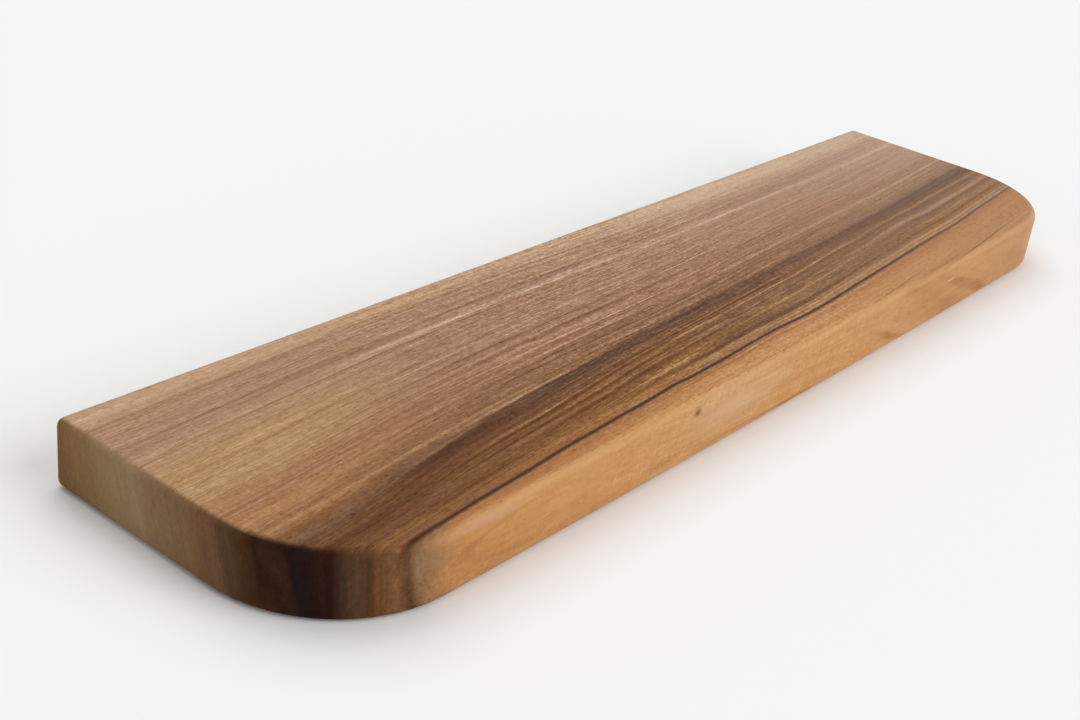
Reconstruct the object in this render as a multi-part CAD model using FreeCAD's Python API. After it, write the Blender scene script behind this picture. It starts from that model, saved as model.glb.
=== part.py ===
"""Floating wall shelf: one solid walnut board carried on two concealed, adjustable shelf supports.

Millimetres. The origin is on the wall, at the centre of the board's back face.
+X runs along the shelf, +Z is up and -Y points into the room.
"""
import FreeCAD, Part
import math
import os

Vector = FreeCAD.Vector
TO_ROOM = Vector(0, -1, 0)
UP = Vector(0, 0, 1)

# Shelf board
BOARD_LENGTH = 800.0
BOARD_DEPTH = 200.0  # at mid length, where the front edge stands furthest out
BOARD_THICKNESS = 40.0
FRONT_CROWN = 2.0  # how far the front edge bows out between its two corners
CORNER_RADIUS = 80.0
ARRIS_RADIUS = 5.0

# Where the supports sit, and how far they can be set up or down for levelling
SUPPORT_INSET = 160.0  # from each end of the board to the middle of its support
HEIGHT_ADJUSTMENT = 2.0

# Support plate: steel strip with its middle pressed forward into a channel
PLATE_LENGTH = 92.0
PLATE_HEIGHT = 20.0
PLATE_THICKNESS = 3.0
BEND_RADIUS = 1.0
SCREW_SPACING = 64.0
SCREW_SLOT_LENGTH = 11.0
SCREW_SLOT_WIDTH = 5.5

# Clamp bolt: M8, its flat oblong head held from turning by the channel
BOLT_DIAMETER = 8.0
BOLT_LENGTH = 16.0
BOLT_END_CHAMFER = 1.0
HEAD_LENGTH = 20.0
HEAD_HEIGHT = 13.0
HEAD_THICKNESS = 5.0
HEAD_CORNER_RADIUS = 1.5
HEAD_SIDE_CLEARANCE = 0.2
HEAD_BACK_CLEARANCE = 0.5
BOLT_SLOT_CLEARANCE = 0.25

# Washer between plate and collar
WASHER_DIAMETER = 18.0
WASHER_THICKNESS = 1.6
WASHER_CLEARANCE = 0.2

# Support rod: round bar with a hexagonal collar at its root
ROD_DIAMETER = 12.0
ROD_LENGTH = 120.0  # in front of the collar
ROD_TIP_CHAMFER = 1.5
COLLAR_ACROSS_FLATS = 17.0
COLLAR_LENGTH = 10.0
THREAD_RUNOUT = 3.0  # blind thread past the end of the bolt

# Fits between the board and what it holds
RECESS_CLEARANCE = 1.0
RECESS_FRONT_CLEARANCE = 1.5
COLLAR_CLEARANCE = 1.2
COLLAR_FRONT_CLEARANCE = 1.0
ROD_CLEARANCE = 0.1
BORE_END_CLEARANCE = 5.0
DRILL_POINT_ANGLE = 118.0

# Worked out from the sizes above: where a support stands along the shelf, and then distances
# from the wall to each face of it
support_x = BOARD_LENGTH / 2 - SUPPORT_INSET
channel_depth = HEAD_BACK_CLEARANCE + HEAD_THICKNESS
plate_front = channel_depth + PLATE_THICKNESS
washer_front = plate_front + WASHER_THICKNESS
collar_front = washer_front + COLLAR_LENGTH
rod_tip = collar_front + ROD_LENGTH
collar_across_corners = COLLAR_ACROSS_FLATS / math.cos(math.radians(30))


def cylinder(radius, start, end):
    """Round bar along Y between two distances from the wall."""
    return Part.makeCylinder(radius, end - start, TO_ROOM * start, TO_ROOM)


def drilled_hole(radius, start, end):
    """Blind hole along Y with the cone that a twist drill leaves beyond its full diameter."""
    point_length = radius / math.tan(math.radians(DRILL_POINT_ANGLE / 2))
    point = Part.makeCone(radius, 0, point_length, TO_ROOM * end, TO_ROOM)
    return cylinder(radius, start, end).fuse(point)


def oblong(length, width, depth):
    """Bar with full-round ends, lying along X, that stands from the wall into the room by depth."""
    radius = width / 2
    reach = length / 2 - radius
    outline = Part.Wire([
        Part.LineSegment(Vector(-reach, 0, radius), Vector(reach, 0, radius)).toShape(),
        Part.Arc(Vector(reach, 0, radius), Vector(length / 2, 0, 0), Vector(reach, 0, -radius)).toShape(),
        Part.LineSegment(Vector(reach, 0, -radius), Vector(-reach, 0, -radius)).toShape(),
        Part.Arc(Vector(-reach, 0, -radius), Vector(-length / 2, 0, 0), Vector(-reach, 0, radius)).toShape(),
    ])
    return Part.Face(outline).extrude(TO_ROOM * depth)


def moved(shape, x, distance=0.0):
    """Copy of a shape, moved along the shelf and out from the wall."""
    copy = shape.copy()
    copy.translate(Vector(x, -distance, 0))
    return copy


def edges_along(shape, direction, x_and_y):
    """Edges of a shape that run along a direction at one of the given places in plan."""
    found = []
    for edge in shape.Edges:
        ends = edge.Vertexes
        if len(ends) < 2:
            continue
        run = ends[1].Point - ends[0].Point
        if run.Length < 1e-6 or abs(abs(run.normalize().dot(direction)) - 1) > 1e-6:
            continue
        middle = edge.CenterOfMass
        if any(math.hypot(middle.x - x, middle.y - y) < 1e-4 for x, y in x_and_y):
            found.append(edge)
    return found


def board_plan():
    """Face of the board in plan: square at the wall, quarter-round front corners, crowned front."""
    half_length = BOARD_LENGTH / 2
    corner_x = half_length - CORNER_RADIUS
    corner_y = -(BOARD_DEPTH - FRONT_CROWN - CORNER_RADIUS)
    # The crown is one large arc that meets both corner arcs at a tangent
    crown_radius = CORNER_RADIUS + (corner_x ** 2 + FRONT_CROWN ** 2) / (2 * FRONT_CROWN)
    crown_centre = Vector(0, crown_radius - BOARD_DEPTH, 0)

    edges = []
    corner = {}
    for side in (-1, 1):
        centre = Vector(side * corner_x, corner_y, 0)
        to_tangent = (centre - crown_centre).normalize()
        start = centre + Vector(side * CORNER_RADIUS, 0, 0)
        middle = centre + (Vector(side, 0, 0) + to_tangent).normalize() * CORNER_RADIUS
        end = centre + to_tangent * CORNER_RADIUS
        edges.append(Part.LineSegment(Vector(side * half_length, 0, 0), start).toShape())
        edges.append(Part.Arc(start, middle, end).toShape())
        corner[side] = end
    edges.append(Part.Arc(corner[-1], Vector(0, -BOARD_DEPTH, 0), corner[1]).toShape())
    edges.append(Part.LineSegment(Vector(half_length, 0, 0), Vector(-half_length, 0, 0)).toShape())
    return Part.Face(Part.Wire(Part.__sortEdges__(edges)))


def support_seat():
    """Everything cut into the board for one support: plate recess, collar counterbore, rod bore."""
    room_around = HEIGHT_ADJUSTMENT + RECESS_CLEARANCE
    recess = oblong(
        PLATE_LENGTH + 2 * room_around,
        PLATE_HEIGHT + 2 * room_around,
        plate_front + RECESS_FRONT_CLEARANCE,
    )
    counterbore_radius = max(collar_across_corners, WASHER_DIAMETER) / 2 + COLLAR_CLEARANCE
    counterbore = cylinder(counterbore_radius, 0, collar_front + COLLAR_FRONT_CLEARANCE)
    bore = drilled_hole(ROD_DIAMETER / 2 + ROD_CLEARANCE, 0, rod_tip + BORE_END_CLEARANCE)
    return recess.fuse([counterbore, bore])


def shelf_board():
    """Solid board, every arris rounded, with a seat in its back for each support."""
    bottom = board_plan()
    bottom.translate(UP * (-BOARD_THICKNESS / 2))
    blank = bottom.extrude(UP * BOARD_THICKNESS)
    half_length = BOARD_LENGTH / 2
    arrises = edges_along(blank, UP, [(-half_length, 0), (half_length, 0)])
    for edge in blank.Edges:
        if edge.BoundBox.ZLength < 1e-6:
            arrises.append(edge)
    board = blank.makeFillet(ARRIS_RADIUS, arrises)
    seat = support_seat()
    for side in (-1, 1):
        board = board.cut(moved(seat, side * support_x))
    return board


def support_plate():
    """Strip with round ends, flat on the wall at both sides and pressed forward in the middle."""
    half = PLATE_LENGTH / 2
    inner = HEAD_LENGTH / 2 + BEND_RADIUS + HEAD_SIDE_CLEARANCE
    outer = inner + PLATE_THICKNESS
    right_half = [
        (inner, -channel_depth),
        (inner, 0),
        (half, 0),
        (half, -PLATE_THICKNESS),
        (outer, -PLATE_THICKNESS),
        (outer, -plate_front),
    ]
    left_half = [(-x, y) for x, y in reversed(right_half)]
    corners = [Vector(x, y, -PLATE_HEIGHT / 2) for x, y in right_half + left_half]
    section = Part.Face(Part.makePolygon(corners + corners[:1])).extrude(UP * PLATE_HEIGHT)

    # Inside and outside of the four bends. A bend can be no wider than the channel's wall allows
    inside_bend = min(BEND_RADIUS, (channel_depth - PLATE_THICKNESS) / 2.1)
    hollow_corners = [(-inner, -channel_depth), (inner, -channel_depth)]
    hollow_corners += [(-outer, -PLATE_THICKNESS), (outer, -PLATE_THICKNESS)]
    raised_corners = [(-inner, 0), (inner, 0), (-outer, -plate_front), (outer, -plate_front)]
    section = section.makeFillet(inside_bend, edges_along(section, UP, hollow_corners))
    outside_bend = inside_bend + PLATE_THICKNESS
    section = section.makeFillet(outside_bend, edges_along(section, UP, raised_corners))

    plate = section.common(oblong(PLATE_LENGTH, PLATE_HEIGHT, plate_front))
    screw_slot = oblong(SCREW_SLOT_LENGTH, SCREW_SLOT_WIDTH, plate_front)
    for side in (-1, 1):
        plate = plate.cut(moved(screw_slot, side * SCREW_SPACING / 2))
    slot_width = BOLT_DIAMETER + 2 * BOLT_SLOT_CLEARANCE
    bolt_slot = oblong(slot_width + 2 * HEIGHT_ADJUSTMENT, slot_width, plate_front)
    bolt_slot.rotate(Vector(0, 0, 0), TO_ROOM, 90)
    return plate.cut(bolt_slot)


def clamp_bolt():
    """Flat oblong head behind the plate's channel and a plain shank for the thread."""
    head = Part.makeBox(HEAD_LENGTH, HEAD_THICKNESS, HEAD_HEIGHT)
    head.translate(Vector(-HEAD_LENGTH / 2, -channel_depth, -HEAD_HEIGHT / 2))
    corners = [edge for edge in head.Edges if edge.BoundBox.YLength > HEAD_THICKNESS - 1e-6]
    head = head.makeFillet(HEAD_CORNER_RADIUS, corners)
    shank_end = channel_depth + BOLT_LENGTH
    radius = BOLT_DIAMETER / 2
    body = cylinder(radius, channel_depth, shank_end - BOLT_END_CHAMFER)
    tip_place = TO_ROOM * (shank_end - BOLT_END_CHAMFER)
    tip = Part.makeCone(radius, radius - BOLT_END_CHAMFER, BOLT_END_CHAMFER, tip_place, TO_ROOM)
    return head.fuse([body, tip]).removeSplitter()


def washer():
    """Flat ring on the front of the plate's channel."""
    ring = cylinder(WASHER_DIAMETER / 2, plate_front, washer_front)
    return ring.cut(cylinder(BOLT_DIAMETER / 2 + WASHER_CLEARANCE, plate_front, washer_front))


def collar():
    """Hexagon with its corners turned down to 30 degrees at the end that faces the room."""
    corner_radius = collar_across_corners / 2
    points = []
    for corner in range(7):
        angle = math.radians(60 * corner)
        points.append(Vector(math.cos(angle), 0, math.sin(angle)) * corner_radius)
    hexagon = Part.Face(Part.makePolygon(points)).extrude(TO_ROOM * COLLAR_LENGTH)
    hexagon.translate(TO_ROOM * washer_front)
    face_radius = COLLAR_ACROSS_FLATS / 2
    turned_length = (corner_radius - face_radius) * math.tan(math.radians(30))
    straight = cylinder(corner_radius, washer_front, collar_front - turned_length)
    turned_place = TO_ROOM * (collar_front - turned_length)
    turned = Part.makeCone(corner_radius, face_radius, turned_length, turned_place, TO_ROOM)
    return hexagon.common(straight.fuse(turned))


def support_rod():
    """Hexagonal collar and round rod in one, with a blind thread from behind for the bolt."""
    radius = ROD_DIAMETER / 2
    bar = cylinder(radius, washer_front, rod_tip - ROD_TIP_CHAMFER)
    tip_place = TO_ROOM * (rod_tip - ROD_TIP_CHAMFER)
    tip = Part.makeCone(radius, radius - ROD_TIP_CHAMFER, ROD_TIP_CHAMFER, tip_place, TO_ROOM)
    thread_end = channel_depth + BOLT_LENGTH + THREAD_RUNOUT
    thread = drilled_hole(BOLT_DIAMETER / 2, washer_front, thread_end)
    return collar().fuse([bar, tip]).removeSplitter().cut(thread)


nodes = {"shelf_board": shelf_board()}
support_pieces = {
    "support_plate": support_plate(),
    "clamp_bolt": clamp_bolt(),
    "washer": washer(),
    "support_rod": support_rod(),
}
for side_name, side in (("left", -1), ("right", 1)):
    for piece_name, piece in support_pieces.items():
        nodes[side_name + "_" + piece_name] = moved(piece, side * support_x)

os.makedirs("parts", exist_ok=True)
for node_name, shape in nodes.items():
    if len(shape.Solids) != 1 or not shape.isValid():
        raise ValueError(node_name + " isn't one valid solid")
    shape.Solids[0].exportStep("parts/" + node_name + ".step")
    print(node_name, round(shape.Volume), shape.BoundBox)
print("rods leave their bores after", round(rod_tip - collar_front - COLLAR_FRONT_CLEARANCE, 1), "mm")
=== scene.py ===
"""Looks of a floating wall shelf: a solid walnut board on two concealed, adjustable steel supports.

Metres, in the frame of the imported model: the origin is on the wall, at the centre of the board's
back face, +X runs along the shelf, +Z is up and -Y points into the room.
"""
import math

import bpy
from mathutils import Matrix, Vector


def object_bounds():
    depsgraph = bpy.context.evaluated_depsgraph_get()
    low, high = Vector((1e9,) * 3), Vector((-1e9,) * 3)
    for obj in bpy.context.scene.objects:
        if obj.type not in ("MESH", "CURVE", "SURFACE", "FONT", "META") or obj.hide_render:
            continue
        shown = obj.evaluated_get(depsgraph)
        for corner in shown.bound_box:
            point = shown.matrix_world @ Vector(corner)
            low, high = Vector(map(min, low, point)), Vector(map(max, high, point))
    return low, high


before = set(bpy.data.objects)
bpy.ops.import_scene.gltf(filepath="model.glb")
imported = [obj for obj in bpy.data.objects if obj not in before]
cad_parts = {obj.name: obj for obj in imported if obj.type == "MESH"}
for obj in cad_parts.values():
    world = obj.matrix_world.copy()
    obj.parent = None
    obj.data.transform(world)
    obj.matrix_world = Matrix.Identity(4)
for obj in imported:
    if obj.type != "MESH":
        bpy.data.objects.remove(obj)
cad_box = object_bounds()

# ---------------------------------------------------------------------------------------------
# Camera: stands in front of the shelf's left end, about half a metre above it, and looks along
# it towards the right and the wall, so the near corner is large and the far end recedes.
camera_place = (-0.8066, -0.5935, 0.4280)
camera_turn = (63.08, -6.57, -50.23)  # degrees about X, Y and Z
camera_lens = 53.2  # mm
camera_frame = 36.0  # mm wide
camera_data = bpy.data.cameras.new("camera")
camera_data.lens = camera_lens
camera_data.sensor_fit = "HORIZONTAL"
camera_data.sensor_width = camera_frame
camera = bpy.data.objects.new("camera", camera_data)
camera.location = camera_place
camera.rotation_euler = [math.radians(angle) for angle in camera_turn]
bpy.context.scene.collection.objects.link(camera)
bpy.context.scene.camera = camera
bpy.context.scene.view_settings.view_transform = "Standard"


# ---------------------------------------------------------------------------------------------
# Studio: a pale matt floor that runs out of sight, an even white surround, and two broad lamps,
# one low in front and one high behind. Their light is even on the top of the board and leaves a
# short soft shadow round its foot.
def linear(hex_colour):
    """Linear colour with alpha, from an sRGB hex value such as 'B08A5C'."""
    channels = []
    for start in (0, 2, 4):
        value = int(hex_colour[start:start + 2], 16) / 255
        low = value <= 0.04045
        channels.append(value / 12.92 if low else ((value + 0.055) / 1.055) ** 2.4)
    return (*channels, 1.0)


def add_node(tree, kind, inputs=(), **settings):
    """Adds a shader node with its settings, its values and its links, and returns the node.

    The inputs go by number or name. A Map Range has its value at 0, the range that it comes from
    at 1 and 2, and the range that it goes to at 3 and 4, each 0 to 1 where it isn't given. A Mix
    has its factor at 0, two numbers at 2 and 3, and two colours at 6 and 7.
    """
    node = tree.nodes.new(kind)
    for name, value in settings.items():
        setattr(node, name, value)
    for key, value in dict(inputs).items():
        if isinstance(value, bpy.types.NodeSocket):
            tree.links.new(value, node.inputs[key])
        else:
            node.inputs[key].default_value = value
    return node


backdrop_colour = linear("F6F6F6")
surround_strength = 0.5

# The camera and the reflections in the steel see the surround in the backdrop's colour. The light
# that falls from it on the shelf is dimmer.
world = bpy.data.worlds.new("white_surround")
bpy.context.scene.world = world
world.use_nodes = True
tree = world.node_tree
tree.nodes.clear()
rays = add_node(tree, "ShaderNodeLightPath").outputs
seen = add_node(tree, "ShaderNodeMath", {0: rays["Is Camera Ray"], 1: rays["Is Glossy Ray"]},
                operation="MAXIMUM")
seen = add_node(tree, "ShaderNodeMath", {0: seen.outputs[0], 1: rays["Is Transmission Ray"]},
                operation="MAXIMUM")
soft = add_node(tree, "ShaderNodeBackground", {"Color": (1, 1, 1, 1), "Strength": surround_strength})
shown = add_node(tree, "ShaderNodeBackground", {"Color": backdrop_colour, "Strength": 1.0})
mixed = add_node(tree, "ShaderNodeMixShader",
                 {0: seen.outputs[0], 1: soft.outputs[0], 2: shown.outputs[0]})
add_node(tree, "ShaderNodeOutputWorld", {"Surface": mixed.outputs[0]})

# degrees above the floor, degrees round from the room towards +X, strength, width in degrees
lamps = {
    "front_lamp": (30, 20, 1.65, 50),
    "back_lamp": (60, 150, 0.85, 50),
}
for name, (height, heading, strength, width) in lamps.items():
    lamp_data = bpy.data.lights.new(name, "SUN")
    lamp_data.energy = strength
    lamp_data.angle = math.radians(width)
    lamp = bpy.data.objects.new(name, lamp_data)
    lamp.rotation_euler = (math.radians(90 - height), 0, math.radians(heading))
    bpy.context.scene.collection.objects.link(lamp)

floor_size = 12.0
floor_gap = 0.0003  # under the board, whose underside would otherwise lie in the same plane
bpy.ops.object.select_all(action="DESELECT")
bpy.ops.mesh.primitive_plane_add(size=floor_size, location=(0, 0, cad_box[0][2] - floor_gap))
floor = bpy.context.object
floor.name = "studio_floor"
floor_paint = bpy.data.materials.new("matt_white_floor")
floor_paint.use_nodes = True
tree = floor_paint.node_tree
tree.nodes.clear()
paint = add_node(tree, "ShaderNodeBsdfDiffuse", {"Color": backdrop_colour})
add_node(tree, "ShaderNodeOutputMaterial", {"Surface": paint.outputs[0]})
floor.data.materials.append(floor_paint)

# ---------------------------------------------------------------------------------------------
# Shelf board: one plank of European walnut, sawn so that its growth rings stand almost upright,
# with the pale sapwood along the front. It is planed, sanded and oiled, and pushed on to the two
# support rods, which it hides.

# Oiled walnut: the oil deepens the browns and leaves hardly a shine. The figure is solid: the same
# rings run through the plank, and its top, front, ends and back all cut them.
walnut = bpy.data.materials.new("oiled_walnut")
walnut.use_nodes = True
tree = walnut.node_tree
oil = tree.nodes["Principled BSDF"]

# Place on the plank in millimetres: along it, forward from the wall, and up from its middle
half_board = 400.0  # mm, half its length
half_thickness = 20.0  # mm
place = add_node(tree, "ShaderNodeTexCoord")
in_mm = add_node(tree, "ShaderNodeVectorMath", {0: place.outputs["Object"], 1: (1000, -1000, 1000)},
                 operation="MULTIPLY")
axes = add_node(tree, "ShaderNodeSeparateXYZ", {0: in_mm.outputs[0]})
along, forward, up = axes.outputs

# The ring where sapwood begins wanders forward from the right end to the left one. Every ring
# behind it keeps its share of that distance from the wall, so the rings fan out to the left.
sapwood_ring = 177.0  # mm from the wall at mid length
# mm, by the third, second and first power of the share of the half length, and all along
sapwood_curve = (-3.7, -2.9, -18.0, sapwood_ring)
share = add_node(tree, "ShaderNodeMath", {0: along, 1: half_board}, operation="DIVIDE")
sapwood_here = sapwood_curve[0]
for term in sapwood_curve[1:]:
    sapwood_here = add_node(tree, "ShaderNodeMath", {0: sapwood_here, 1: share.outputs[0], 2: term},
                            operation="MULTIPLY_ADD").outputs[0]
straight = add_node(tree, "ShaderNodeMath", {0: forward, 1: sapwood_here}, operation="DIVIDE")
straight = add_node(tree, "ShaderNodeMath", {0: straight.outputs[0], 1: sapwood_ring},
                    operation="MULTIPLY")
straight = straight.outputs[0]

# Slow bends in the grain. Each takes some rings along: the ring's distance from the wall in mm and
# its share, and then the distance along the plank and how far the bend moves it forward, in mm
ring_span = 230.0  # mm, the rings from the wall to beyond the front corners
bends = {
    "every_ring": (
        ((0, 1), (230, 1)),
        ((-400, 1.5), (-300, -1.2), (-200, -2.0), (-120, -1.9), (-50, -0.4), (0, 0.6), (50, 2.0),
         (100, 1.6), (200, 0.5), (250, 0.8), (300, -0.4), (400, -1.5)),
    ),
    "wall_side": (
        ((0, 1), (60, 1), (100, 0), (230, 0)),
        ((-400, 0), (-100, 0), (0, 1.5), (50, 3), (150, 4), (400, 4)),
    ),
    "heartwood": (
        ((0, 0), (80, 1), (150, 1), (174, 0), (230, 0)),
        ((-400, 8), (-330, 7.2), (-300, 6.2), (-250, 4.1), (-200, 2.8), (-100, 2.1), (0, 0.3),
         (60, -3.0), (100, -3.7), (200, -4.2), (300, -5.0), (400, -7.5)),
    ),
    "dark_band": (
        ((0, 0), (124, 0), (133, 1), (152, 1.6), (174, 0), (230, 0)),
        ((-400, 8), (-330, 7), (-300, 5), (-250, 3.5), (-200, 3), (-150, 1.5), (-100, -0.5),
         (0, -2), (100, 0), (200, 2), (300, 2.5), (400, 5)),
    ),
    "band_middle": (
        ((0, 0), (131, 0), (142, 1), (150, 1), (165, 0.4), (175, 0), (230, 0)),
        ((-400, 0), (50, 0), (100, -1.5), (140, -3.5), (180, -4.5), (230, -7.5), (300, -5), (400, -5)),
    ),
    "sapwood_edge": (
        ((0, 0), (165, 0), (177, 1), (186, 0), (230, 0)),
        ((-400, 0), (-250, 0.2), (-215, -0.8), (-150, -0.4), (-120, -0.7), (-95, 0.1), (-65, 0),
         (-15, -1.3), (20, -0.5), (60, 0.2), (110, -0.4), (150, -0.1), (210, -0.4), (250, 0),
         (285, 1), (315, 0.2), (400, 0.3)),
    ),
}
bend_room = 16.0  # mm, the curves run from minus to plus this
ring = straight
for shares, shifts in bends.values():
    parts = []
    for value, lowest, highest, points, handle in (
        (ring, 0.0, ring_span, shares, "VECTOR"),
        (along, -half_board, half_board, shifts, "AUTO_CLAMPED"),
    ):
        reach = add_node(tree, "ShaderNodeMapRange", {0: value, 1: lowest, 2: highest})
        bend = add_node(tree, "ShaderNodeFloatCurve", {"Value": reach.outputs[0]})
        line = bend.mapping.curves[0]
        for _ in points[1:-1]:
            line.points.new(0.0, 0.0)
        for spot, (distance, amount) in zip(line.points, points):
            spot.location = (distance - lowest) / (highest - lowest), 0.5 + amount / (2 * bend_room)
            spot.handle_type = handle
        bend.mapping.update()
        part = add_node(tree, "ShaderNodeMapRange",
                        {0: bend.outputs[0], 3: -bend_room, 4: bend_room})
        parts.append(part.outputs[0])
    shift = add_node(tree, "ShaderNodeMath", {0: parts[0], 1: parts[1]}, operation="MULTIPLY")
    ring = add_node(tree, "ShaderNodeMath", {0: ring, 1: shift.outputs[0]},
                    operation="SUBTRACT").outputs[0]

# The rings lean forward on their way down, in mm for each mm. At the left end they lean more behind
# the dark band, and hardly at all at the sapwood.
usual_lean = 0.18
lean_behind_band = 0.28
lean_at_sapwood = 0.05
left_lean = add_node(tree, "ShaderNodeMapRange", {0: straight, 1: 110.0, 2: sapwood_ring,
                                                  3: lean_behind_band, 4: lean_at_sapwood})
from_left = add_node(tree, "ShaderNodeMapRange", {0: along, 1: -340.0, 2: -200.0},
                     interpolation_type="SMOOTHSTEP")
lean = add_node(tree, "ShaderNodeMix", {0: from_left.outputs[0], 2: left_lean.outputs[0],
                                        3: usual_lean})
below_top = add_node(tree, "ShaderNodeMath", {0: up, 1: half_thickness}, operation="SUBTRACT")
ring = add_node(tree, "ShaderNodeMath", {0: below_top.outputs[0], 1: lean.outputs[0], 2: ring},
                operation="MULTIPLY_ADD").outputs[0]

# They also waver a little, in slow waves and in small ripples
# length and width of a wave, and how far it goes, all in mm
waves = (
    (180.0, 40.0, 1.2),
    (34.0, 9.0, 0.7),
)
for wave_length, wave_width, waver in waves:
    stretched = add_node(tree, "ShaderNodeVectorMath",
                         {0: in_mm.outputs[0], 1: (1 / wave_length, 1 / wave_width, 1 / wave_width)},
                         operation="MULTIPLY")
    wave = add_node(tree, "ShaderNodeTexNoise", {"Vector": stretched.outputs[0], "Scale": 1.0,
                                                 "Detail": 1.0})
    wave = add_node(tree, "ShaderNodeMath", {0: wave.outputs[0], 1: 0.5}, operation="SUBTRACT")
    ring = add_node(tree, "ShaderNodeMath", {0: wave.outputs[0], 1: waver, 2: ring},
                    operation="MULTIPLY_ADD").outputs[0]

# Colours of the wood by ring, along the grain and across it. From the wall to the front: tan
# heartwood, a dark band, sapwood. Cut across, the fibres drink more oil and all is deeper. These
# colours, and those of the patches and marks below, also carry a faint even grey lift, a painted
# sheen that stands in for part of the oil's shine.
long_grain = (
    (0, "B39170"), (10, "BB9574"), (15, "B7916F"), (19, "A88162"), (36, "A57E62"), (42, "A27C5F"),
    (46, "AC8568"), (54, "A0795C"), (66, "A27A5C"), (76, "A0785A"), (84, "9D7354"), (98, "9C6F50"),
    (108, "916646"), (114, "885F3F"), (122, "89603F"), (124.5, "845B3A"), (126.5, "714B2D"),
    (128, "634126"), (134, "704726"), (140, "7A4F29"), (149, "83572D"), (160, "885E33"),
    (169, "906335"), (173, "9D6E44"), (180, "A57043"), (186, "B6804D"), (196, "BC8A56"), (230, "B68252"),
)
end_grain = (
    (0, "7C5D37"), (8, "886740"), (22, "8F734E"), (30, "967B55"), (48, "977C5A"), (55, "8C6E4F"),
    (72, "846648"), (81, "7F5E41"), (90, "74533A"), (95, "735239"), (100, "64472F"), (103, "593F2A"),
    (106, "593E27"), (112, "493018"), (117, "422611"), (120, "321A0F"), (124, "2E1A10"), (127, "1C100F"),
    (131, "25120F"), (139, "30160F"), (144, "3A2419"), (148, "432D1E"), (156, "553B26"), (160, "503726"),
    (163.5, "442D1C"), (167, "59381E"), (173, "684A2D"), (176, "563D28"), (181, "7D644A"),
    (187, "B18053"), (230, "BD8A55"),
)
zones = add_node(tree, "ShaderNodeMath", {0: ring, 1: ring_span}, operation="DIVIDE")
grain_colours = []
for grain in (long_grain, end_grain):
    ramp = add_node(tree, "ShaderNodeValToRGB", {0: zones.outputs[0]})
    stops = ramp.color_ramp.elements
    stops[0].color = linear(grain[0][1])
    stops[1].color = linear(grain[-1][1])
    for distance, colour in grain[1:-1]:
        stops.new(distance / ring_span).color = linear(colour)
    grain_colours.append(ramp.outputs[0])
along_grain, across_grain = grain_colours

# Patches that differ from their rings: paler, greyer wood on the right from the wall to the dark
# band, which is a painted sheen, olive and golden wood at the left, a redder end of the band there
# and lighter wood in it elsewhere, which on the right is in part a painted sheen, deeper sapwood on
# the right, and a grey edge to it at the left corner
# colour, ring where it is strongest and its half width, from mm to mm along
patches_and_sheen = (
    # painted sheen at the back on the right
    ("CBAC8E", 10.0, 26.0, 0, 160),
    # painted sheen on the right, paler and greyer
    ("B69581", 50.0, 90.0, 150, 440),
    # in part a painted sheen
    ("A07B5A", 112.0, 20.0, 60, 280),
    ("B38E61", 72.0, 36.0, -190, -340),
    ("AB7D51", 112.0, 18.0, -230, -400),
    ("6A3F20", 150.0, 36.0, -130, -330),
    ("835D38", 158.0, 16.0, -80, 20),
    # in part a painted sheen
    ("8F6546", 150.0, 24.0, 60, 240),
    # in part a painted sheen
    ("75523D", 129.0, 9.0, 0, 200),
    ("98714E", 174.0, 7.0, 60, 160),
    ("A36F45", 205.0, 40.0, 40, 430),
    ("7E5E42", 179.0, 6.0, -312, -335),
)
patch_strength = 0.75
for colour, distance, half_width, fades_in, full in patches_and_sheen:
    off = add_node(tree, "ShaderNodeMath", {0: ring, 1: distance}, operation="SUBTRACT")
    off = add_node(tree, "ShaderNodeMath", {0: off.outputs[0]}, operation="ABSOLUTE")
    amount = add_node(tree, "ShaderNodeMapRange",
                      {0: off.outputs[0], 1: 0.0, 2: half_width, 3: patch_strength, 4: 0.0},
                      interpolation_type="SMOOTHSTEP")
    reach = add_node(tree, "ShaderNodeMapRange", {0: along, 1: fades_in, 2: full},
                     interpolation_type="SMOOTHSTEP")
    amount = add_node(tree, "ShaderNodeMath", {0: amount.outputs[0], 1: reach.outputs[0]},
                      operation="MULTIPLY")
    along_grain = add_node(tree, "ShaderNodeMix",
                           {0: amount.outputs[0], 6: along_grain, 7: linear(colour)},
                           data_type="RGBA").outputs[2]

# The ends and the round corners turn to face along the plank, and so show the fibres cut across
cut_begins = 0.1  # of the surface's normal along the plank, 0 on the top and 1 on the ends
cut_across = 0.65
facing = add_node(tree, "ShaderNodeSeparateXYZ", {0: place.outputs["Normal"]})
end_on = add_node(tree, "ShaderNodeMath", {0: facing.outputs[0]}, operation="ABSOLUTE")
end_on = add_node(tree, "ShaderNodeMapRange", {0: end_on.outputs[0], 1: cut_begins, 2: cut_across},
                  interpolation_type="SMOOTHSTEP")
wood = add_node(tree, "ShaderNodeMix", {0: end_on.outputs[0], 6: along_grain, 7: across_grain},
                data_type="RGBA")

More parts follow.
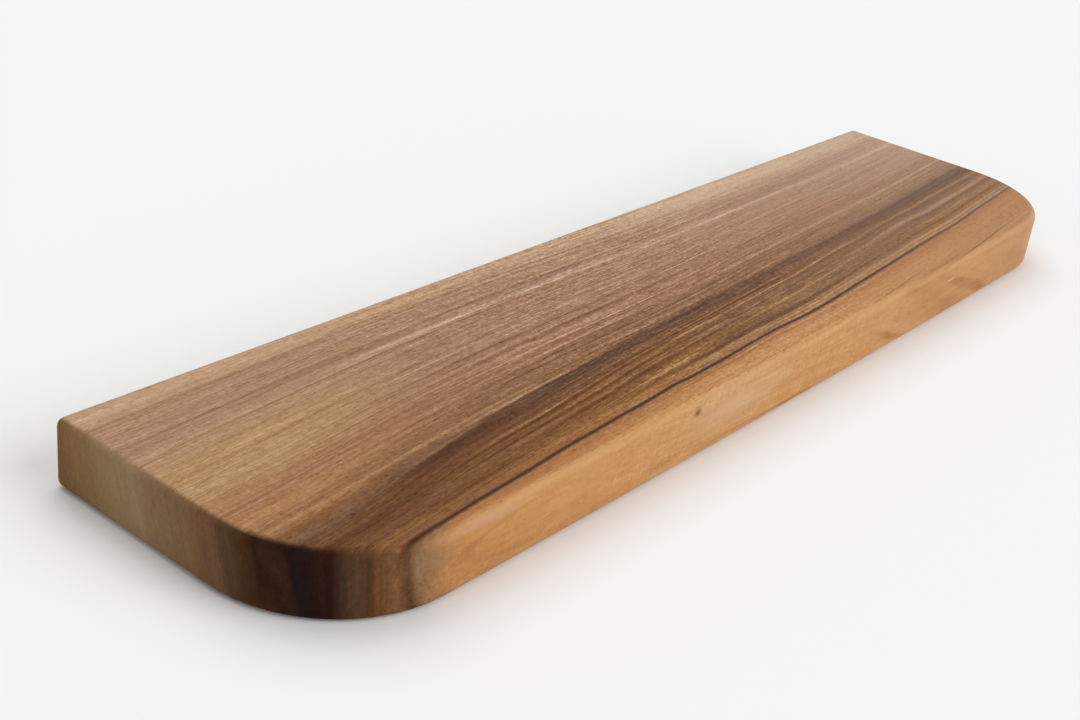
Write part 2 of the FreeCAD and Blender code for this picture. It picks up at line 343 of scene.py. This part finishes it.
# Single rings that stand out, each in the shape of a long thin lens: place and half width in mm,
# how much lighter or darker, and the stretch of the plank in mm where it shows best
ring_lines = (
    (6.0, 3.6, 0.05, -520, 520), (15.0, 5.6, 0.05, -140, 520), (18.0, 1.9, -0.14, -520, -170),
    (19.0, 1.3, -0.14, -160, 60), (20.0, 7.0, 0.12, 320, 520), (23.5, 1.6, -0.23, -180, -20),
    (28.5, 1.1, -0.10, -300, -220), (36.8, 1.4, -0.26, -380, 170), (37.5, 5.6, -0.14, -140, -40),
    (39.5, 1.9, -0.10, -290, -190), (44.8, 2.2, 0.23, -100, 0), (44.8, 2.4, 0.22, -240, -140),
    (45.5, 5.6, -0.14, 0, 80), (46.5, 2.1, 0.20, 20, 240), (47.0, 2.4, 0.09, -520, -160),
    (48.0, 3.2, 0.12, 240, 520), (49.0, 1.2, -0.26, -370, -20), (52.5, 1.0, 0.10, -270, -170),
    (52.5, 2.4, 0.08, -520, 240), (56.0, 3.2, -0.10, -240, -40), (56.0, 4.0, 0.08, -520, -340),
    (56.5, 1.6, -0.15, -160, 100), (61.5, 5.6, -0.08, 240, 520), (64.0, 1.3, -0.10, 60, 180),
    (65.0, 2.1, 0.14, -370, -30), (66.0, 3.0, 0.12, 20, 240), (67.5, 1.6, 0.18, 40, 200),
    (68.5, 1.1, -0.18, -520, -60), (70.0, 1.1, -0.10, 20, 100), (71.0, 3.6, 0.08, -380, -20),
    (72.0, 1.4, 0.20, -230, -30), (72.0, 3.6, -0.07, -20, 520), (73.5, 2.4, -0.12, 30, 120),
    (77.5, 1.6, -0.08, -160, 20), (77.5, 4.5, 0.08, -60, 280), (78.5, 2.4, 0.14, -520, -260),
    (80.5, 1.4, -0.20, -330, -20), (82.0, 2.4, -0.17, 0, 100), (82.5, 1.6, -0.14, -280, -100),
    (86.0, 1.4, 0.12, -190, 120), (87.0, 2.0, -0.17, -120, 20), (87.5, 1.6, -0.28, -120, 20),
    (87.5, 1.6, 0.18, -380, -140), (88.6, 1.3, -0.36, -340, 50), (90.4, 1.3, -0.22, 40, 160),
    (92.0, 1.8, 0.10, -300, 150), (95.6, 1.2, -0.16, 0, 130), (96.0, 4.0, 0.08, -520, -340),
    (97.0, 1.1, -0.10, -320, -200), (97.5, 1.8, 0.18, -200, -10), (98.5, 5.6, -0.06, -200, 520),
    (100.0, 4.8, -0.07, -150, -60), (101.5, 1.6, -0.12, -360, -200), (103.0, 2.4, -0.14, -280, -100),
    (104.0, 1.9, 0.14, -320, 0), (104.0, 7.0, 0.07, 20, 260), (107.0, 2.4, 0.22, 0, 520),
    (107.5, 2.4, -0.17, -120, 20), (108.0, 1.6, -0.20, -340, -30), (108.0, 3.6, 0.11, -340, -180),
    (110.2, 1.0, -0.12, 0, 160), (112.6, 1.4, -0.24, -250, 130), (113.5, 2.0, -0.20, -220, -100),
    (115.0, 2.4, -0.10, -180, 520), (116.5, 1.3, -0.12, -300, 140), (117.5, 1.6, 0.26, -80, 0),
    (119.3, 1.4, 0.22, -130, 20), (121.0, 3.0, 0.14, 20, 180), (123.0, 2.4, 0.22, -520, -165),
    (124.0, 5.6, -0.17, -80, 20), (124.8, 2.7, -0.36, -90, 80), (125.0, 2.0, 0.10, -320, 340),
    (125.8, 1.8, 0.45, -250, -130), (127.0, 1.1, -0.31, -220, -120), (127.0, 2.0, 0.28, -300, -240),
    (128.0, 1.6, 0.18, -520, -270), (128.0, 1.8, -0.12, -20, 300), (128.3, 1.0, 0.14, -220, -120),
    (130.0, 1.1, 0.34, -70, -10), (130.0, 2.4, -0.14, -340, -180), (131.0, 2.4, -0.18, -300, -220),
    (132.5, 3.2, -0.18, 270, 520), (134.0, 1.0, -0.14, -60, 60), (134.0, 3.2, -0.16, -340, -160),
    (134.5, 3.0, 0.18, 40, 160), (135.5, 3.6, -0.10, 180, 520), (136.5, 1.3, 0.24, -140, -60),
    (138.0, 2.4, -0.14, 110, 520), (138.2, 1.1, 0.24, -60, -10), (138.5, 7.0, 0.08, 140, 520),
    (139.0, 4.0, -0.18, -520, -300), (139.6, 1.3, -0.24, -120, 120), (140.6, 1.4, 0.30, -280, -150),
    (142.0, 5.6, -0.11, -520, 80), (142.5, 3.0, 0.16, 80, 180), (142.6, 1.4, -0.30, -300, -90),
    (142.8, 1.9, 0.16, 190, 520), (143.3, 1.4, 0.42, -70, -20), (144.0, 1.1, 0.42, -20, 190),
    (145.3, 1.4, 0.10, -210, -80), (146.0, 1.6, -0.25, -80, 0), (146.8, 1.1, -0.24, -10, 130),
    (147.0, 5.6, -0.06, 100, 520), (147.5, 2.4, -0.18, 170, 520), (148.8, 1.9, -0.44, -300, 10),
    (149.0, 1.6, 0.15, -60, 100), (149.0, 2.4, 0.23, -320, -260), (151.4, 1.3, 0.30, -60, -10),
    (152.0, 2.4, -0.10, -280, 260), (152.2, 1.1, 0.16, -270, -70), (154.8, 3.2, 0.22, 170, 520),
    (155.4, 2.4, -0.34, -200, -30), (157.0, 5.6, -0.20, -220, -80), (158.5, 1.4, 0.20, -10, 140),
    (159.5, 2.2, -0.22, 160, 520), (160.5, 2.4, -0.17, -60, 20), (160.5, 7.0, 0.06, -20, 520),
    (162.8, 1.9, 0.44, -130, -70), (163.5, 2.4, -0.24, -320, -230), (163.5, 5.6, -0.11, 120, 260),
    (163.8, 1.4, 0.18, 230, 520), (164.0, 3.2, -0.20, -60, 30), (167.3, 2.2, -0.48, -100, 140),
    (167.5, 2.4, -0.19, -180, 0), (167.6, 1.6, -0.20, 140, 520), (170.5, 1.6, 0.12, -340, 0),
    (170.5, 3.6, -0.07, 0, 520), (171.0, 1.4, 0.14, -140, 200), (171.5, 3.6, -0.16, -520, -150),
    (172.0, 1.3, 0.24, -110, 520), (174.2, 1.1, 0.14, -20, 520), (175.0, 1.6, 0.14, -60, 200),
    (175.5, 3.6, -0.13, -520, -140), (180.6, 1.3, 0.26, -120, 150), (184.0, 1.6, -0.12, 80, 220),
    (188.0, 5.6, 0.26, -80, 50), (199.0, 0.8, -0.70, 95, 160), (206.0, 4.0, -0.45, 110, 210),
    (208.3, 1.0, -0.90, 175, 300), (210.0, 4.8, 0.14, 230, 520),
)
tone = 0.03  # how much lighter or darker than its ring's colour the wood is
lens_reach = 0.77  # half the length of a lens, as a share of the stretch where it shows best
ring_place = add_node(tree, "ShaderNodeCombineXYZ", {0: along, 1: ring})
for distance, half_width, change, start, end in ring_lines:
    half_length = lens_reach * (end - start)
    middle = (start + end) / 2
    off = add_node(tree, "ShaderNodeVectorMath",
                   {0: ring_place.outputs[0], 1: (1 / half_length, 1 / half_width, 0.0),
                    2: (-middle / half_length, -distance / half_width, 0.0)}, operation="MULTIPLY_ADD")
    off = add_node(tree, "ShaderNodeVectorMath", {0: off.outputs[0]}, operation="LENGTH")
    # A smooth step keeps to its ends without clamp, and a clamp on each of so many lines would
    # fill up the renderer's stack
    strength = add_node(tree, "ShaderNodeMapRange",
                        {0: off.outputs["Value"], 1: 0.3, 2: 1.0, 3: change, 4: 0.0},
                        interpolation_type="SMOOTHSTEP", clamp=False)
    tone = add_node(tree, "ShaderNodeMath", {0: strength.outputs[0], 1: tone},
                    operation="ADD").outputs[0]

# Streaks along the grain, from broad rings to bundles of fibres
# size along the grain, across the rings and up, in mm, and how much lighter and darker
grain_place = add_node(tree, "ShaderNodeCombineXYZ", {0: along, 1: ring, 2: up})
streaks = (
    (900.0, 9.0, 120.0, 0.30),
    (400.0, 3.6, 70.0, 0.40),
    (220.0, 1.8, 4.0, 0.55),
    (60.0, 0.9, 2.0, 0.65),
)
# Figure across the grain: the ripple of wavy fibres, ray flecks and pores. Real pores are 0.2 mm
# wide, too fine to show, so they are drawn 0.7 mm wide and more. The figure keeps to the straight
# rings, because the bends would shear it.
figure = (
    (3.2, 11.0, 22.0, 0.22),
    (2.6, 3.6, 10.0, 0.34),
    (16.0, 2.6, 9.0, 0.44),
    (5.0, 1.7, 6.0, 0.36),
    (1.8, 1.0, 3.0, 0.50),
    (3.5, 0.7, 1.2, 0.60),
)
fine_place = add_node(tree, "ShaderNodeCombineXYZ", {0: along, 1: straight, 2: up})
amounts = []
for sizes, places in ((streaks, grain_place), (figure, fine_place)):
    total = 0.0
    for *size, change in sizes:
        scaled = add_node(tree, "ShaderNodeVectorMath",
                          {0: places.outputs[0], 1: [1 / length for length in size]},
                          operation="MULTIPLY")
        streak = add_node(tree, "ShaderNodeTexNoise", {"Vector": scaled.outputs[0], "Scale": 1.0,
                                                       "Detail": 1.0, "Roughness": 0.6})
        streak = add_node(tree, "ShaderNodeMath", {0: streak.outputs[0], 1: 0.5},
                          operation="SUBTRACT")
        total = add_node(tree, "ShaderNodeMath", {0: streak.outputs[0], 1: change, 2: total},
                         operation="MULTIPLY_ADD").outputs[0]
    amounts.append(total)

# Both are strongest in the middle of the plank and fade to the right
figure_left = 0.65
figure_middle = 1.4
figure_right = 0.38  # of the middle's
rising = add_node(tree, "ShaderNodeMapRange",
                  {0: along, 1: -300.0, 2: -80.0, 3: figure_left, 4: figure_middle},
                  interpolation_type="SMOOTHSTEP")
falling = add_node(tree, "ShaderNodeMapRange",
                   {0: along, 1: 0.0, 2: 220.0, 3: 1.0, 4: figure_right},
                   interpolation_type="SMOOTHSTEP")
figured = add_node(tree, "ShaderNodeMath", {0: rising.outputs[0], 1: falling.outputs[0]},
                   operation="MULTIPLY")
for total in amounts:
    total = add_node(tree, "ShaderNodeMath", {0: total, 1: figured.outputs[0]},
                     operation="MULTIPLY")
    tone = add_node(tree, "ShaderNodeMath", {0: total.outputs[0], 1: tone},
                    operation="ADD").outputs[0]

# Thin dark lines of late wood, 2 to 6 mm apart, broken along their length
late_size = (420.0, 3.6, 80.0)  # mm along, across the rings and up
late_darkening = -0.09
late_place = add_node(tree, "ShaderNodeVectorMath",
                      {0: grain_place.outputs[0], 1: [1 / length for length in late_size]},
                      operation="MULTIPLY")
late_wood = add_node(tree, "ShaderNodeTexNoise", {"Vector": late_place.outputs[0], "Scale": 1.0,
                                                  "Detail": 1.0})
late_wood = add_node(tree, "ShaderNodeMath", {0: late_wood.outputs[0], 1: 0.5},
                     operation="SUBTRACT")
late_wood = add_node(tree, "ShaderNodeMath", {0: late_wood.outputs[0]}, operation="ABSOLUTE")
late_wood = add_node(tree, "ShaderNodeMapRange",
                     {0: late_wood.outputs[0], 1: 0.0, 2: 0.07, 3: late_darkening, 4: 0.0},
                     interpolation_type="SMOOTHSTEP")
tone = add_node(tree, "ShaderNodeMath", {0: late_wood.outputs[0], 1: tone},
                operation="ADD").outputs[0]

# Sapwood and cut fibres show less of all this. The sapwood differs a little in the front face,
# where front_on is 1.
top_sapwood_calm = 0.55
front_sapwood_calm = 0.6
cut_calm = 0.35
front_on = add_node(tree, "ShaderNodeMapRange", {0: facing.outputs[1], 1: -0.3, 2: -0.9},
                    interpolation_type="SMOOTHSTEP")
sapwood_calm = add_node(tree, "ShaderNodeMapRange",
                        {0: front_on.outputs[0], 3: top_sapwood_calm, 4: front_sapwood_calm})
calm = add_node(tree, "ShaderNodeMapRange",
                {0: ring, 1: 176.0, 2: 184.0, 3: 1.0, 4: sapwood_calm.outputs[0]})
end_calm = add_node(tree, "ShaderNodeMapRange", {0: end_on.outputs[0], 3: 1.0, 4: cut_calm})
calm = add_node(tree, "ShaderNodeMath", {0: calm.outputs[0], 1: end_calm.outputs[0]},
                operation="MULTIPLY")
tone = add_node(tree, "ShaderNodeMath", {0: tone, 1: calm.outputs[0]},
                operation="MULTIPLY").outputs[0]

# Here and there an open pore shows as a short dark dash, but not where the fibres are cut across
pore_size = (4.5, 0.9, 1.2)  # mm along, across the rings and up, coarser than real, as above
pore_darkening = -0.2
front_pore_darkening = -0.12
pore_place = add_node(tree, "ShaderNodeVectorMath",
                      {0: fine_place.outputs[0], 1: [1 / length for length in pore_size]},
                      operation="MULTIPLY")
pores = add_node(tree, "ShaderNodeTexNoise", {"Vector": pore_place.outputs[0], "Scale": 1.0,
                                              "Detail": 0.0})
pore_depth = add_node(tree, "ShaderNodeMapRange",
                      {0: front_on.outputs[0], 3: pore_darkening, 4: front_pore_darkening})
pores = add_node(tree, "ShaderNodeMapRange", {0: pores.outputs[0], 1: 0.62, 2: 0.74, 3: 0.0,
                                              4: pore_depth.outputs[0]})
open_pores = add_node(tree, "ShaderNodeMath", {0: 1.0, 1: end_on.outputs[0]},
                      operation="SUBTRACT")
pores = add_node(tree, "ShaderNodeMath", {0: pores.outputs[0], 1: open_pores.outputs[0]},
                 operation="MULTIPLY")
tone = add_node(tree, "ShaderNodeMath", {0: pores.outputs[0], 1: tone},
                operation="ADD").outputs[0]

# Darker wood is richer in colour too, so the tone works in part as light and in part as richness
light_share = 0.4
rich_share = 0.6
darkest = 0.3
dimmed = add_node(tree, "ShaderNodeMath", {0: tone, 1: light_share, 2: 1.0},
                  operation="MULTIPLY_ADD")
dimmed = add_node(tree, "ShaderNodeMath", {0: dimmed.outputs[0], 1: darkest}, operation="MAXIMUM")
bent = add_node(tree, "ShaderNodeMath", {0: tone, 1: -rich_share, 2: 1.0},
                operation="MULTIPLY_ADD")
finished = add_node(tree, "ShaderNodeGamma", {0: wood.outputs[2], 1: bent.outputs[0]})
finished = add_node(tree, "ShaderNodeVectorMath", {0: finished.outputs[0], "Scale": dimmed.outputs[0]},
                    operation="SCALE")

# Some streaks are warmer and some greyer, most of all in the dark band, and less cut across
hue_size = (200.0, 5.0, 40.0)  # mm along, across the rings and up
heartwood_hue = 0.3
band_hue = 1.8
sapwood_hue = 0.22
cut_hue = 0.55
warmth = (0.3, 0.0, -1.0)  # a warmer streak has more red and less blue
hue_place = add_node(tree, "ShaderNodeVectorMath",
                     {0: grain_place.outputs[0], 1: [1 / length for length in hue_size]},
                     operation="MULTIPLY")
hue = add_node(tree, "ShaderNodeTexNoise", {"Vector": hue_place.outputs[0], "Scale": 1.0, "Detail": 2.0,
                                            "Roughness": 0.6})
hue = add_node(tree, "ShaderNodeMath", {0: hue.outputs[0], 1: 0.5}, operation="SUBTRACT")
hue_change = add_node(tree, "ShaderNodeMapRange",
                      {0: ring, 1: 120.0, 2: 130.0, 3: heartwood_hue, 4: band_hue})
hue_change = add_node(tree, "ShaderNodeMapRange",
                      {0: ring, 1: 174.0, 2: 180.0, 3: hue_change.outputs[0], 4: sapwood_hue})
hue = add_node(tree, "ShaderNodeMath", {0: hue.outputs[0], 1: hue_change.outputs[0]},
               operation="MULTIPLY")
end_hue = add_node(tree, "ShaderNodeMapRange", {0: end_on.outputs[0], 3: 1.0, 4: cut_hue})
hue = add_node(tree, "ShaderNodeMath", {0: hue.outputs[0], 1: end_hue.outputs[0]},
               operation="MULTIPLY")
tint = add_node(tree, "ShaderNodeVectorMath", {0: hue.outputs[0], 1: warmth, 2: (1.0, 1.0, 1.0)},
                operation="MULTIPLY_ADD")
finished = add_node(tree, "ShaderNodeVectorMath", {0: finished.outputs[0], 1: tint.outputs[0]},
                    operation="MULTIPLY")

# One black ring parts heartwood from sapwood. It has soft edges, fades to the right and a little to
# the left, and is faint where it is cut across.
black_core = 0.4  # mm to each side, all of it at its blackest
black_edge = 1.9  # mm to each side, where it ends
black_right = 0.55
black_left = 0.95
black_cut = 0.3
black_ring = add_node(tree, "ShaderNodeMath", {0: ring, 1: sapwood_ring}, operation="SUBTRACT")
black_ring = add_node(tree, "ShaderNodeMath", {0: black_ring.outputs[0]}, operation="ABSOLUTE")
fade_right = add_node(tree, "ShaderNodeMapRange",
                      {0: along, 1: 120.0, 2: 340.0, 3: 1.0, 4: black_right})
fade_left = add_node(tree, "ShaderNodeMapRange",
                     {0: along, 1: -250.0, 2: -60.0, 3: black_left, 4: 1.0})
fade_ends = add_node(tree, "ShaderNodeMath", {0: fade_right.outputs[0], 1: fade_left.outputs[0]},
                     operation="MULTIPLY")
blackness = add_node(tree, "ShaderNodeMapRange",
                     {0: end_on.outputs[0], 2: 0.5, 3: 1.0, 4: black_cut})
blackness = add_node(tree, "ShaderNodeMath", {0: blackness.outputs[0], 1: fade_ends.outputs[0]},
                     operation="MULTIPLY")
black_ring = add_node(tree, "ShaderNodeMapRange",
                      {0: black_ring.outputs[0], 1: black_core, 2: black_edge,
                       3: blackness.outputs[0], 4: 0.0})
finished = add_node(tree, "ShaderNodeMix",
                    {0: black_ring.outputs[0], 6: finished.outputs[0], 7: linear("3F2208")},
                    data_type="RGBA")

# In the front face the sapwood is cut flat, not on edge, and shows long cloudy patches of gold
flat_size = (55.0, 60.0, 9.0)  # mm along, forward and up
least_gold = 0.1
most_gold = 0.7
outer = add_node(tree, "ShaderNodeMapRange", {0: ring, 1: 179.0, 2: 187.0})
flat_place = add_node(tree, "ShaderNodeVectorMath",
                      {0: in_mm.outputs[0], 1: [1 / length for length in flat_size]},
                      operation="MULTIPLY")
flat_grain = add_node(tree, "ShaderNodeTexNoise", {"Vector": flat_place.outputs[0], "Scale": 1.0,
                                                   "Detail": 4.0, "Roughness": 0.6})
flat_grain = add_node(tree, "ShaderNodeMapRange",
                      {0: flat_grain.outputs[0], 1: 0.3, 2: 0.7, 3: least_gold, 4: most_gold})
golden = add_node(tree, "ShaderNodeMath", {0: outer.outputs[0], 1: front_on.outputs[0]},
                  operation="MULTIPLY")
golden = add_node(tree, "ShaderNodeMath", {0: golden.outputs[0], 1: flat_grain.outputs[0]},
                  operation="MULTIPLY")
finished = add_node(tree, "ShaderNodeMix",
                    {0: golden.outputs[0], 6: finished.outputs[2], 7: linear("C1905B")},
                    data_type="RGBA")

# A painted highlight along the rounded arris between the top and the front: the sapwood is a
# shade paler where the surface faces both up and forward
arris_highlight_share = 0.3
painted_arris_highlight = add_node(tree, "ShaderNodeMath", {0: facing.outputs[1], 1: facing.outputs[2]},
                  operation="MULTIPLY")
painted_arris_highlight = add_node(tree, "ShaderNodeMapRange",
                  {0: painted_arris_highlight.outputs[0], 1: -0.05, 2: -0.5, 3: 0.0, 4: arris_highlight_share},
                  interpolation_type="SMOOTHSTEP")
painted_arris_highlight = add_node(tree, "ShaderNodeMath", {0: painted_arris_highlight.outputs[0], 1: outer.outputs[0]},
                  operation="MULTIPLY")
finished = add_node(tree, "ShaderNodeMix",
                    {0: painted_arris_highlight.outputs[0], 6: finished.outputs[2], 7: linear("D3AB81")},
                    data_type="RGBA")

# Marks in the front face, all soft: the arch of a ring near the left corner, brown lines low in the
# middle, a pin knot in paler wood, and a painted highlight along the top arris near the left corner.
# Each is a line or a spot round a place, seen from the front.
# colour, its strength, place along and up in mm, half its length and height in mm, where the mark
# lies (0 at the place, 1 at the half length) and how wide it is
marks_and_highlight = (
    ("8C6E50", 0.55, -333.0, 7.0, 17.0, 15.0, 0.0, 1.0),
    # a painted highlight along the top arris near the left corner
    ("C59C7F", 0.50, -295.0, 15.0, 50.0, 4.5, 0.0, 1.0),
    ("9A6842", 0.50, -232.0, 0.0, 77.0, 13.0, 1.0, 0.13),
    ("C6A47E", 0.55, -80.0, 4.0, 80.0, 22.0, 0.0, 1.0),
    ("9C6C40", 0.50, -85.0, -14.0, 60.0, 1.6, 0.0, 1.0),
    ("825735", 0.65, -18.0, -15.5, 52.0, 2.2, 0.0, 1.0),
    ("DEBA8B", 0.50, 196.0, 8.0, 12.0, 2.0, 0.0, 1.0),
    ("A9774C", 0.60, 350.0, -4.0, 75.0, 40.0, 0.0, 1.0),
    ("6D4A2F", 0.90, -120.0, 12.0, 5.5, 4.0, 0.0, 1.0),
)
front_place = add_node(tree, "ShaderNodeCombineXYZ", {0: along, 1: up})
for colour, most, centre, height, half_length, half_height, lies, wide in marks_and_highlight:
    spot = add_node(tree, "ShaderNodeVectorMath",
                    {0: front_place.outputs[0], 1: (-centre, -height, 0.0)})
    spot = add_node(tree, "ShaderNodeVectorMath",
                    {0: spot.outputs[0], 1: (1 / half_length, 1 / half_height, 0.0)},
                    operation="MULTIPLY")
    spot = add_node(tree, "ShaderNodeVectorMath", {0: spot.outputs[0]}, operation="LENGTH")
    spot = add_node(tree, "ShaderNodeMath", {0: spot.outputs["Value"], 1: lies},
                    operation="SUBTRACT")
    spot = add_node(tree, "ShaderNodeMath", {0: spot.outputs[0]}, operation="ABSOLUTE")
    spot = add_node(tree, "ShaderNodeMapRange", {0: spot.outputs[0], 1: 0.0, 2: wide, 3: most, 4: 0.0},
                    interpolation_type="SMOOTHSTEP")
    if lies:  # a ring, of which only the left half shows, as an arch
        arch = add_node(tree, "ShaderNodeMapRange", {0: along, 1: centre, 2: centre - half_length})
        spot = add_node(tree, "ShaderNodeMath", {0: spot.outputs[0], 1: arch.outputs[0]},
                        operation="MULTIPLY")
    spot = add_node(tree, "ShaderNodeMath", {0: spot.outputs[0], 1: front_on.outputs[0]},
                    operation="MULTIPLY")
    finished = add_node(tree, "ShaderNodeMix",
                        {0: spot.outputs[0], 6: finished.outputs[2], 7: linear(colour)},
                        data_type="RGBA")
tree.links.new(finished.outputs[2], oil.inputs["Base Color"])

# Oil soaks in and leaves no film, so the shine is faint: satin along the fibres, and dull where
# they are cut across. Part of the shine is not rendered here but painted into the wood's colours
# as a grey lift.
satin_roughness = 0.32
dull_roughness = 0.6
shine = 0.05  # 0.5 for a film of lacquer
gloss = add_node(tree, "ShaderNodeMapRange",
                 {0: end_on.outputs[0], 3: satin_roughness, 4: dull_roughness})
tree.links.new(gloss.outputs[0], oil.inputs["Roughness"])
oil.inputs["Specular IOR Level"].default_value = shine

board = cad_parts["shelf_board"]
board.material_slots[0].material = walnut

# ---------------------------------------------------------------------------------------------
# Support plates: steel strip, pressed into a shallow channel for the bolt's head and screwed flat
# to the wall. Zinc plated after pressing, which gives a cool grey, slightly cloudy and satin, over
# the faint lengthwise lines that rolling left in the strip.
zinc_strip = bpy.data.materials.new("zinc_plated_strip")
zinc_strip.use_nodes = True
tree = zinc_strip.node_tree
zinc = tree.nodes["Principled BSDF"]
zinc.inputs["Metallic"].default_value = 1.0
place = add_node(tree, "ShaderNodeTexCoord")
cloud_size = 9.0  # mm
clouds = add_node(tree, "ShaderNodeTexNoise",
                  {"Vector": place.outputs["Object"], "Scale": 1000 / cloud_size, "Detail": 3.0,
                   "Roughness": 0.6})
tint = add_node(tree, "ShaderNodeMapRange", {0: clouds.outputs[0], 1: 0.3, 2: 0.7})
tint = add_node(tree, "ShaderNodeMix", {0: tint.outputs[0], 6: linear("B4B8BC"), 7: linear("CDCFCF")},
                data_type="RGBA")
satin = add_node(tree, "ShaderNodeMapRange", {0: clouds.outputs[0], 1: 0.3, 2: 0.7, 3: 0.44, 4: 0.32})
rolling_size = (12.0, 0.25, 0.25)  # mm long, and mm apart both ways
lines = add_node(tree, "ShaderNodeVectorMath",
                 {0: place.outputs["Object"], 1: [1000 / length for length in rolling_size]},
                 operation="MULTIPLY")
lines = add_node(tree, "ShaderNodeTexNoise", {"Vector": lines.outputs[0], "Scale": 1.0,
                                              "Detail": 1.0})
relief = add_node(tree, "ShaderNodeBump", {"Strength": 0.25, "Distance": 0.00003,
                                           "Height": lines.outputs[0]})
tree.links.new(tint.outputs[2], zinc.inputs["Base Color"])
tree.links.new(satin.outputs[0], zinc.inputs["Roughness"])
tree.links.new(relief.outputs[0], zinc.inputs["Normal"])
for side in ("left", "right"):
    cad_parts[side + "_support_plate"].material_slots[0].material = zinc_strip

# ---------------------------------------------------------------------------------------------
# Clamp bolts and washers: cold-headed and stamped steel, tumbled smooth in the barrel where they
# are zinc plated. Brighter than the plates, with a faint straw tint from the passivating bath.
zinc_fastener = bpy.data.materials.new("zinc_plated_fastener")
zinc_fastener.use_nodes = True
tree = zinc_fastener.node_tree
zinc = tree.nodes["Principled BSDF"]
zinc.inputs["Metallic"].default_value = 1.0
place = add_node(tree, "ShaderNodeTexCoord")
stain_size = 3.0  # mm
stains = add_node(tree, "ShaderNodeTexNoise",
                  {"Vector": place.outputs["Object"], "Scale": 1000 / stain_size, "Detail": 2.0,
                   "Roughness": 0.5})
tint = add_node(tree, "ShaderNodeMapRange", {0: stains.outputs[0], 1: 0.35, 2: 0.65})
tint = add_node(tree, "ShaderNodeMix", {0: tint.outputs[0], 6: linear("C3C7CA"), 7: linear("D0CDBF")},
                data_type="RGBA")
satin = add_node(tree, "ShaderNodeMapRange", {0: stains.outputs[0], 1: 0.3, 2: 0.7, 3: 0.36, 4: 0.26})
dent_size = 0.6  # mm
dents = add_node(tree, "ShaderNodeTexNoise",
                 {"Vector": place.outputs["Object"], "Scale": 1000 / dent_size, "Detail": 1.0})
relief = add_node(tree, "ShaderNodeBump", {"Strength": 0.3, "Distance": 0.00003,
                                           "Height": dents.outputs[0]})
tree.links.new(tint.outputs[2], zinc.inputs["Base Color"])
tree.links.new(satin.outputs[0], zinc.inputs["Roughness"])
tree.links.new(relief.outputs[0], zinc.inputs["Normal"])
for side in ("left", "right"):
    for piece in ("clamp_bolt", "washer"):
        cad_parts[side + "_" + piece].material_slots[0].material = zinc_fastener

# ---------------------------------------------------------------------------------------------
# Support rods: turned from bright steel bar, which leaves the hexagon of the bar as the collar.
# The lathe's feed leaves fine rings round the rod, and a film of oil darkens the steel a little.
bright_bar = bpy.data.materials.new("bright_steel_bar")
bright_bar.use_nodes = True
tree = bright_bar.node_tree
steel = tree.nodes["Principled BSDF"]
steel.inputs["Metallic"].default_value = 1.0
place = add_node(tree, "ShaderNodeTexCoord")
feed = 0.4  # mm from ring to ring, drawn coarser than the real 0.1 mm so that it shows
round_scale = 30.0  # per metre across the rod, so low that a ring is much the same all round
rings = add_node(tree, "ShaderNodeVectorMath",
                 {0: place.outputs["Object"], 1: (round_scale, 1000 / feed, round_scale)},
                 operation="MULTIPLY")
rings = add_node(tree, "ShaderNodeTexNoise", {"Vector": rings.outputs[0], "Scale": 1.0, "Detail": 1.0})
film_size = 14.0  # mm
film = add_node(tree, "ShaderNodeTexNoise",
                {"Vector": place.outputs["Object"], "Scale": 1000 / film_size, "Detail": 2.0})
tint = add_node(tree, "ShaderNodeMapRange", {0: film.outputs[0], 1: 0.35, 2: 0.65})
tint = add_node(tree, "ShaderNodeMix", {0: tint.outputs[0], 6: linear("A9A8A4"), 7: linear("BFC1C3")},
                data_type="RGBA")
satin = add_node(tree, "ShaderNodeMapRange", {0: rings.outputs[0], 1: 0.3, 2: 0.7, 3: 0.22, 4: 0.34})
relief = add_node(tree, "ShaderNodeBump", {"Strength": 0.35, "Distance": 0.00004,
                                           "Height": rings.outputs[0]})
tree.links.new(tint.outputs[2], steel.inputs["Base Color"])
tree.links.new(satin.outputs[0], steel.inputs["Roughness"])
tree.links.new(relief.outputs[0], steel.inputs["Normal"])
for side in ("left", "right"):
    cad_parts[side + "_support_rod"].material_slots[0].material = bright_bar
